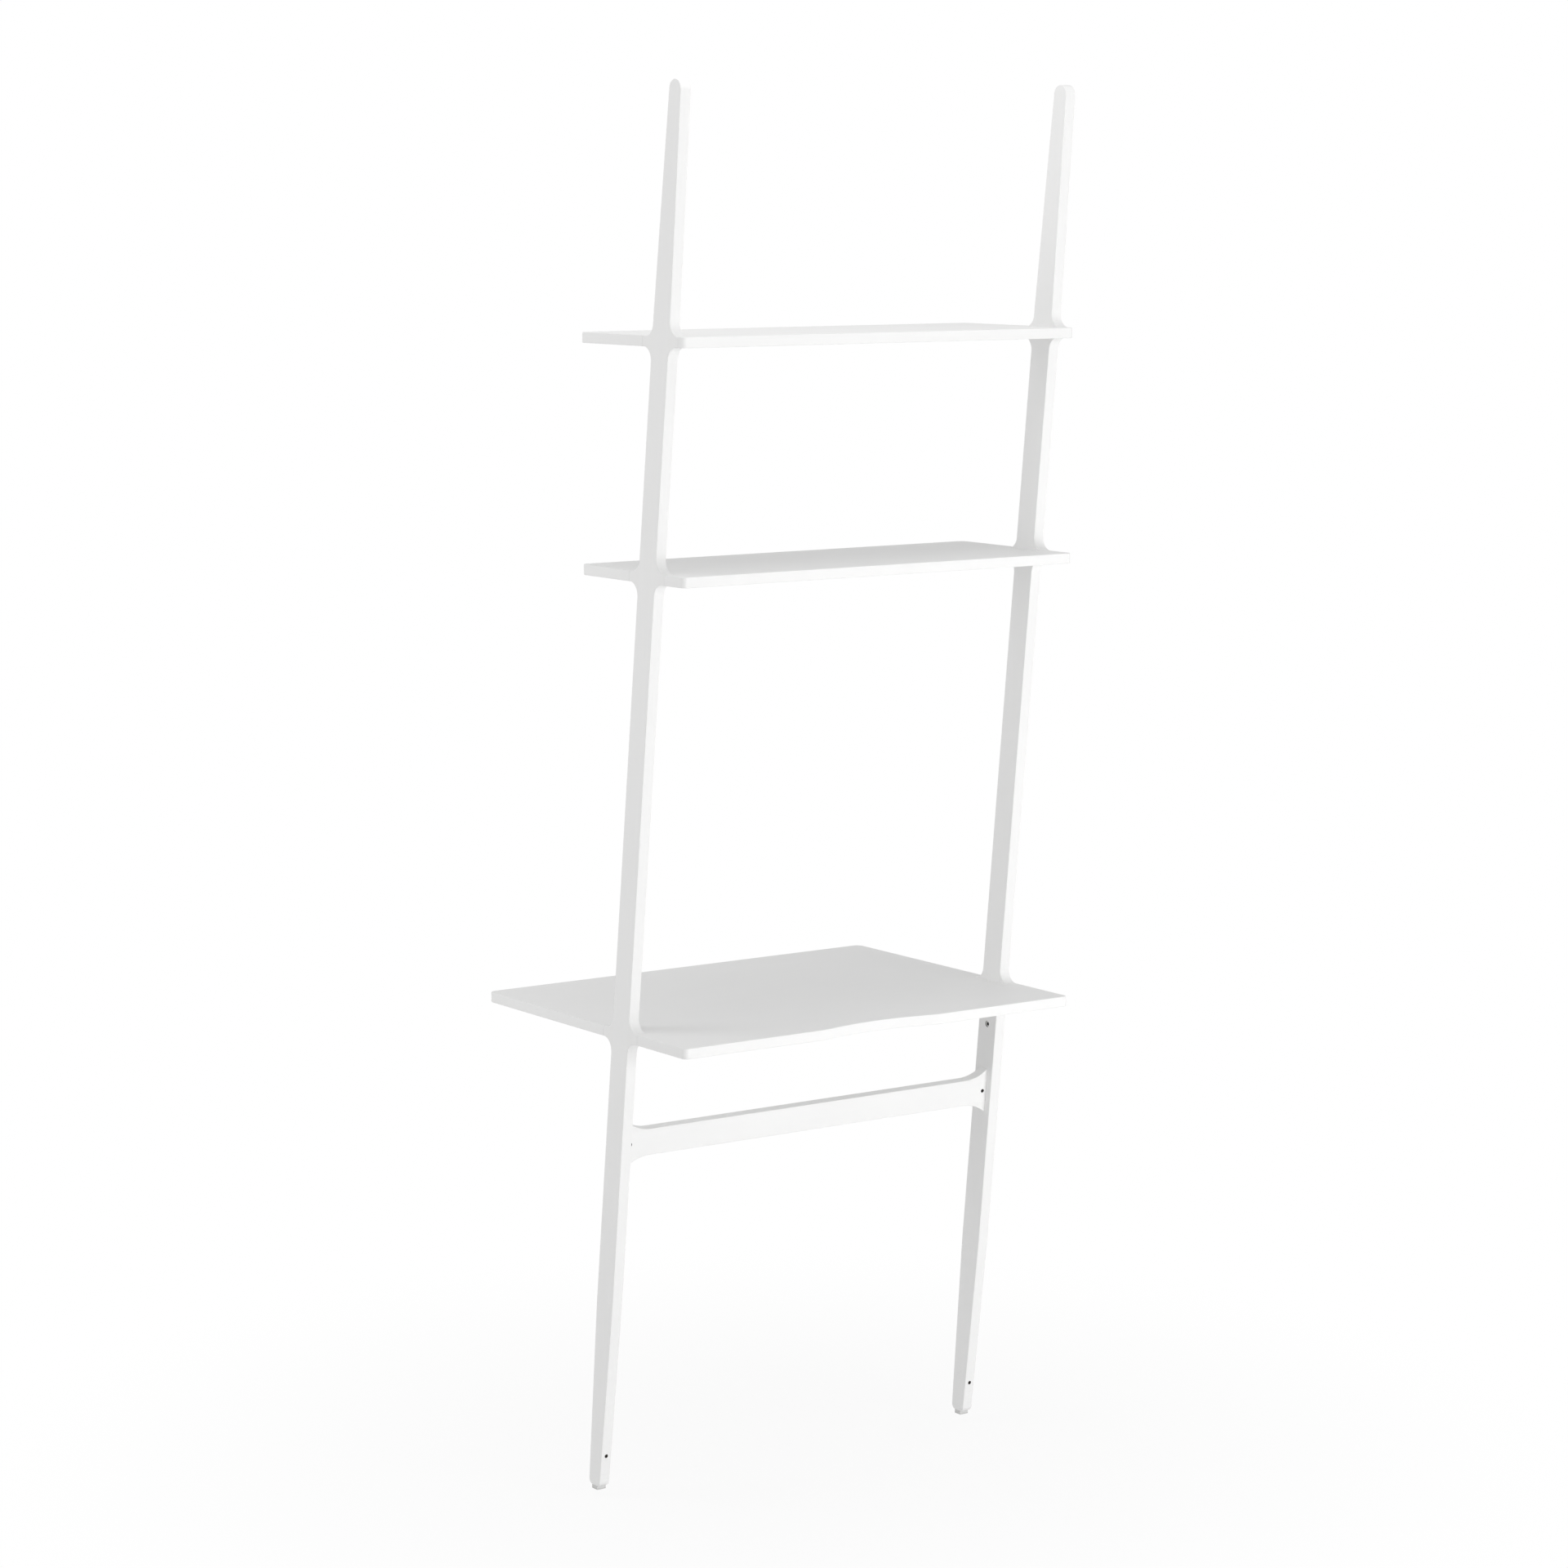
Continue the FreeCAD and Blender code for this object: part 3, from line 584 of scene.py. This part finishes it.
def turned(name, outline, centre, axis, out):
    """A piece spun about an axis. The outline lists how far along it and how far out, in mm."""
    bpy.ops.object.select_all(action="DESELECT")
    bpy.ops.mesh.primitive_plane_add(size=MM)
    piece = bpy.context.object
    piece.name = name
    spots = [centre + (along * axis + radius * out) * MM for along, radius in outline]
    bpy.ops.object.mode_set(mode="EDIT")
    bpy.ops.mesh.merge(type="CENTER")
    bpy.ops.transform.translate(value=spots[0])
    for spot, last in zip(spots[1:], spots):
        bpy.ops.mesh.extrude_region_move(TRANSFORM_OT_translate={"value": spot - last})
    bpy.ops.mesh.select_all(action="SELECT")
    bpy.ops.mesh.spin(steps=SPIN_STEPS, angle=2 * math.pi, center=centre, axis=axis)
    tidy_mesh()
    print(name, "turned from", len(outline), "points:", len(piece.data.polygons), "faces")
    return piece


print("lathe ready, with", SPIN_STEPS, "steps in a turn")

# %% [markdown]
# Both sides of the desk mirror each other, so each metal part is made once, for the
# right-hand side, and copied. Duplicate gives the copy its own mesh. Scaling it by -1
# along x about the middle of the desk mirrors it, and turns its faces inside out, which
# the recalculated normals mend. The two are then joined into one piece, like the CAD
# node that they stand for.

# %% A pair of mirrored pieces
SHARP_ANGLE = math.radians(30)


def paired(right, node, material):
    """Joins the right piece and its mirrored copy into one piece that stands for a CAD node."""
    bpy.ops.object.select_all(action="DESELECT")
    right.select_set(True)
    bpy.context.view_layer.objects.active = right
    bpy.ops.object.duplicate()
    bpy.ops.object.mode_set(mode="EDIT")
    bpy.ops.mesh.select_all(action="SELECT")
    bpy.ops.transform.resize(value=(-1, 1, 1), center_override=(0, 0, 0))
    tidy_mesh()
    right.select_set(True)
    bpy.context.view_layer.objects.active = right
    bpy.ops.object.join()
    bpy.ops.object.transform_apply()
    bpy.ops.object.shade_smooth_by_angle(angle=SHARP_ANGLE)
    right.data.materials.clear()
    right.data.materials.append(material)
    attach(right, "frame")
    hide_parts(node)
    print(right.name, "stands for", node, "with", len(right.data.polygons), "faces")


print("pairs ready, smooth up to", round(math.degrees(SHARP_ANGLE)), "degrees")

# %% [markdown]
# Below the desk top a threaded insert sits in the inner face of each upright, for an
# accessory to be bolted on. It is a short bush with a coarse thread outside, which bites
# the wood, and an M6 thread inside, with a small countersink that leads the screw in. A
# true helix could be made with a Screw modifier, but its ends would stay open. Rings
# with a thread's section look the same in a bore this small, and close properly. The
# outline is in millimetres and goes round the wall: out over the mouth, along the coarse
# thread, in over the far end and back along the inner thread to the countersink.

# %% Threaded inserts
M6_PITCH = 1.0
ROOT_SHARE = 0.10
CREST_SHARES = (0.45, 0.65)
INSERT_LENGTH = 12.5
COUNTERSINK_RADIUS = 3.3
COARSE_PITCH = 2.2
COARSE_CREST = 5.0
COARSE_ROOT = 4.35
INNER_CREST = 2.5
INNER_ROOT = 3.0


def thread(start, end, pitch, crest, root):
    """The zigzag of a thread's section between two places along its axis, in mm."""
    way = pitch if end > start else -pitch
    points = []
    for turn in range(int(abs(end - start) / pitch)):
        along = start + turn * way
        points.append((along + ROOT_SHARE * way, root))
        points += [(along + share * way, crest) for share in CREST_SHARES]
    return points


bush = [(0, COUNTERSINK_RADIUS), (0, 4.5), (0.4, 4.9)]
bush += thread(0.6, INSERT_LENGTH - 0.5, COARSE_PITCH, COARSE_CREST, COARSE_ROOT)
bush += [(INSERT_LENGTH - 0.3, 4.6), (INSERT_LENGTH, 4.3), (INSERT_LENGTH, 3.1)]
bush += thread(INSERT_LENGTH - 0.3, 0.9, M6_PITCH, INNER_CREST, INNER_ROOT)
bush += [(0.7, 2.6), (0, COUNTERSINK_RADIUS)]
insert_mouth = insert_place.copy()
insert_mouth.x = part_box("desk_inserts")[1].x - INSERT_LENGTH * MM
insert = turned("threaded_inserts", bush, insert_mouth, Vector((1, 0, 0)), Vector((0, 0, 1)))
paired(insert, "desk_inserts", insert_zinc)

# %% [markdown]
# Headless screws lock the bar and the feet. Such a screw is a length of M6 thread with a
# flat tip that presses on what it grips, and a hexagon socket in its outer end for a key.
# The lathe gives everything but the socket, so its end is left open there. A hexagon of
# six edges, each cut into eight, has as many points as the round opening, so the two
# rims can be bridged evenly. The hexagon is then extruded inwards and its floor filled.

# %% Headless lock screws
M6_CREST = 3.0
M6_ROOT = 2.42
KEY_WIDTH = 3
SOCKET_DEPTH = 2.2
HEXAGON_SIDES = 6
BAR_SCREW_LENGTH = 4
LEG_SCREW_LENGTH = 8


def pick_open_rims(piece):
    """Selects the edges that bound a hole, or no face at all, in edit mode."""
    bpy.ops.mesh.select_all(action="DESELECT")
    shape = bmesh.from_edit_mesh(piece.data)
    rims = [edge for edge in shape.edges if edge.is_boundary or edge.is_wire]
    for edge in rims:
        edge.select_set(True)
    bmesh.update_edit_mesh(piece.data)
    return len(rims)


def lock_screw(name, node, length, dip):
    """A screw in the place of a node's right-hand one. Towards the wall its axis dips below level."""
    axis = Vector((0, math.cos(dip), -math.sin(dip)))
    centre = middle(node)
    centre.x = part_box(node)[1].x - M6_CREST * MM
    tip = centre - length / 2 * MM * axis
    outline = [(0, 0), (0, 1.9), (0.5, M6_ROOT - 0.02)]
    outline += thread(0.5, length - 0.4, M6_PITCH, M6_CREST, M6_ROOT)
    outline += [(length - 0.35, 2.6), (length, 2.3), (length, 1.95)]
    screw = turned(name, outline, tip, axis, Vector((1, 0, 0)))
    bpy.ops.object.mode_set(mode="EDIT")
    bpy.ops.mesh.select_all(action="DESELECT")
    bpy.ops.mesh.primitive_circle_add(
        vertices=HEXAGON_SIDES,
        radius=KEY_WIDTH / math.sqrt(3) * MM,
        location=tip + length * MM * axis,
        rotation=(-math.pi / 2 - dip, 0, 0),
    )
    bpy.ops.mesh.subdivide(number_cuts=SPIN_STEPS // HEXAGON_SIDES - 1)
    bridged = pick_open_rims(screw)
    bpy.ops.mesh.bridge_edge_loops()
    hexagon = pick_open_rims(screw)
    bpy.ops.mesh.extrude_region_move(TRANSFORM_OT_translate={"value": -SOCKET_DEPTH * MM * axis})
    bpy.ops.mesh.edge_face_add()
    tidy_mesh()
    print(name, "bridged", bridged, "rim edges; its socket has", hexagon)
    return screw


bar_screw = lock_screw("bar_lock_screws", "stretcher_lock_screws", BAR_SCREW_LENGTH, math.atan(LEAN))
paired(bar_screw, "stretcher_lock_screws", black.owner)
level_screw = lock_screw("leg_lock_screws", "foot_lock_screws", LEG_SCREW_LENGTH, 0.0)
paired(level_screw, "foot_lock_screws", black.owner)

# %% [markdown]
# The studio is a white room. Its floor glows white to the camera and in reflections, so
# that it meets the white behind it without a line, but near the desk a part of it is
# ordinary matt paint, and there the desk's soft shadow stays. To all other rays it is
# plain pale paint, which throws light back up as a real floor does. A foot can be let
# down by 10 mm, and the floor lies just below that reach, so that no foot sinks into it.

# %% Floor
FLOOR_WIDTH = 60
FLOOR_LEVEL = -0.0105
MATT_SHARE = 0.12
MATT_FULL = 0.2
MATT_END = 1.4
PAINT_DULL = (0.84, 0.84, 0.84, 1)
PAINT_PALE = (0.88, 0.88, 0.88, 1)
WHITE = (1, 1, 1, 1)

bpy.ops.object.select_all(action="DESELECT")
bpy.ops.mesh.primitive_plane_add(size=FLOOR_WIDTH, location=(0, 0, FLOOR_LEVEL))
bpy.ops.object.transform_apply()
floor = bpy.context.object
floor.name = "studio_floor"
paint = Finish(bpy.data.materials.new("floor_paint"))
reach = paint.node("ShaderNodeVectorMath", {"operation": "LENGTH"}, {0: paint.place()}, "Value")
matt_share = paint.step(reach, MATT_FULL, MATT_END, MATT_SHARE, 0.0)
speckle = paint.noise(90, detail=3.0)
paint.use(Base_Color=paint.blend(speckle, PAINT_DULL, PAINT_PALE), Roughness=0.9)
glow = paint.node("ShaderNodeEmission", {}, {"Color": WHITE, "Strength": 1.0})
matt = Level(paint, paint.shader.outputs[0])
mixed = paint.node("ShaderNodeMixShader", {}, {0: paint.shown() * (1 - matt_share), 1: matt, 2: glow})
paint.wire(paint.tree.nodes["Material Output"], {"Surface": mixed})
floor.data.materials.append(paint.owner)
print("floor", floor.name, FLOOR_WIDTH, "m across")

# %% [markdown]
# In the photograph the faces towards the wall are nearly white, the ends are a light
# grey, and the desk top lies between. The rounded places tell where the main lamp stands:
# the fillets above the shelves are grey and those below are white, so it is lower than
# the shelves, and the boards' corners turn white late, so it is off to the left. It is a
# softbox behind the desk, at about the desk top's height. A weaker one stands in front on
# the right, a small one hangs overhead, and even light comes from all round. Their
# strengths were worked out from the greys of some 150 places on the desk, and then set
# finely by laying whole renders over the photograph. The lamps themselves are hidden
# from the camera, and the world is white to it.

# %% Light
ROOM_LIGHT = 0.57

world = bpy.data.worlds.new("white_room")
bpy.context.scene.world = world
air = Finish(world, "Background")
air.use(Color=WHITE, Strength=ROOM_LIGHT + (1 - ROOM_LIGHT) * air.shown())


def softbox(name, place, aim, width, watts):
    """A square lamp at a place, turned towards its aim."""
    bpy.ops.object.light_add(type="AREA", location=place)
    lamp = bpy.context.object
    lamp.name = name
    lamp.rotation_euler = (Vector(aim) - Vector(place)).to_track_quat("-Z", "Y").to_euler()
    lamp.data.size = width
    lamp.data.energy = watts
    lamp.visible_camera = False
    print(name, width, "m wide,", watts, "W")


softbox("wall_side_lamp", place=(-0.7, 3.4, 0.85), aim=(0, 0.1, 1.0), width=1.6, watts=49)
softbox("front_right_lamp", place=(2.2, -1.0, 1.6), aim=(0.36, 0, 1.2), width=1.2, watts=12.5)
softbox("overhead_lamp", place=(0.3, 0.4, 3.0), aim=(0, 0.1, 1.5), width=1.2, watts=7)
bpy.context.scene.view_settings.view_transform = "Standard"

# %% [markdown]
